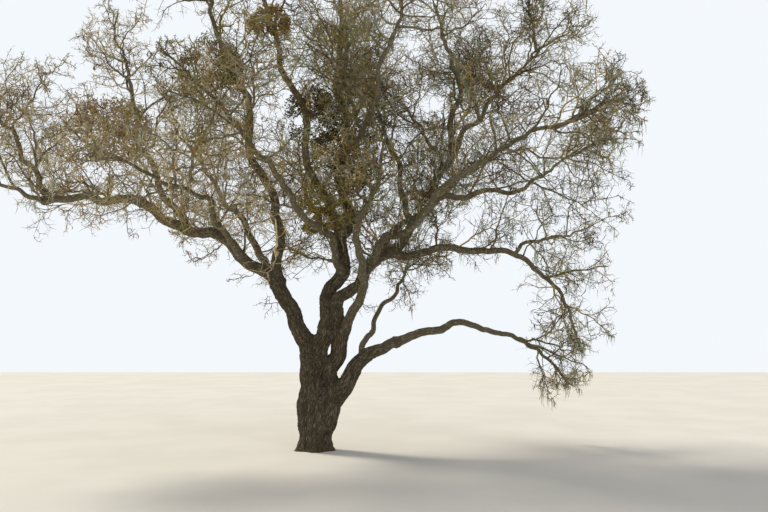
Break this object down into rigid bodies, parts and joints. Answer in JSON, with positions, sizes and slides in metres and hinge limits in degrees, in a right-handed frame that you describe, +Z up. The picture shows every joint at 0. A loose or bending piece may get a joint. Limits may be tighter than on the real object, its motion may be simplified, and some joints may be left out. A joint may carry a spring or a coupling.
{
  "type": "bare winter oak tree",
  "caption": "Leafless open-grown oak: short bole forking low into stems, crooked spreading boughs, fine twig masses, mistletoe balls and lichen.",
  "frame": {"origin": "middle of the flat cut under the trunk, at ground level", "axes": "+Z up along the trunk; +X to the right of the tree seen from the picture's side, along its widest spread; +Y away from that side"},
  "size_m": [12.2091, 8.9132, 9.5172],
  "materials": {
    "bark": "rough fissured grey-brown bark with pale lichen",
    "twigs": "dull grey-brown twig bark with olive lichen",
    "mistletoe": "dull olive-green leaves"
  },
  "bodies": {
    "root": {"back_high": "bark", "back_high_twigs": "twigs", "centre_back": "bark", "centre_back_twigs": "twigs", "centre_front": "bark", "centre_front_twigs": "twigs", "centre_left": "bark", "centre_left_twigs": "twigs", "front_high": "bark", "front_high_twigs": "twigs", "leader": "bark", "left_back": "bark", "left_back_twigs": "twigs", "left_elbow": "bark", "left_elbow_twigs": "twigs", "left_fork": "bark", "left_front": "bark", "left_front_twigs": "twigs", "left_limb": "bark", "left_outer": "bark", "left_rise": "bark", "left_rise_twigs": "twigs", "left_stem": "bark", "left_tip": "bark", "left_tip_twigs": "twigs", "left_upper": "bark", "left_upper_twigs": "twigs", "low_bough": "bark", "low_outer": "bark", "low_outer_twigs": "twigs", "low_rise": "bark", "low_rise_twigs": "twigs", "mistletoe_centre": "mistletoe", "mistletoe_dark": "mistletoe", "mistletoe_left": "mistletoe", "mistletoe_low": "mistletoe", "mistletoe_top": "mistletoe", "mistletoe_upper_left": "mistletoe", "right_arch": "bark", "right_arch_twigs": "twigs", "right_back": "bark", "right_back_twigs": "twigs", "right_fork": "bark", "right_fork_twigs": "twigs", "right_front": "bark", "right_front_twigs": "twigs", "right_high": "bark", "right_high_twigs": "twigs", "right_inner": "bark", "right_inner_twigs": "twigs", "right_limb": "bark", "right_mid": "bark", "right_mid_twigs": "twigs", "right_out": "bark", "right_out_twigs": "twigs", "right_rise": "bark", "right_stem": "bark", "top_bough": "bark", "top_bough_twigs": "twigs", "trunk": "bark"}
  },
  "joints": []
}
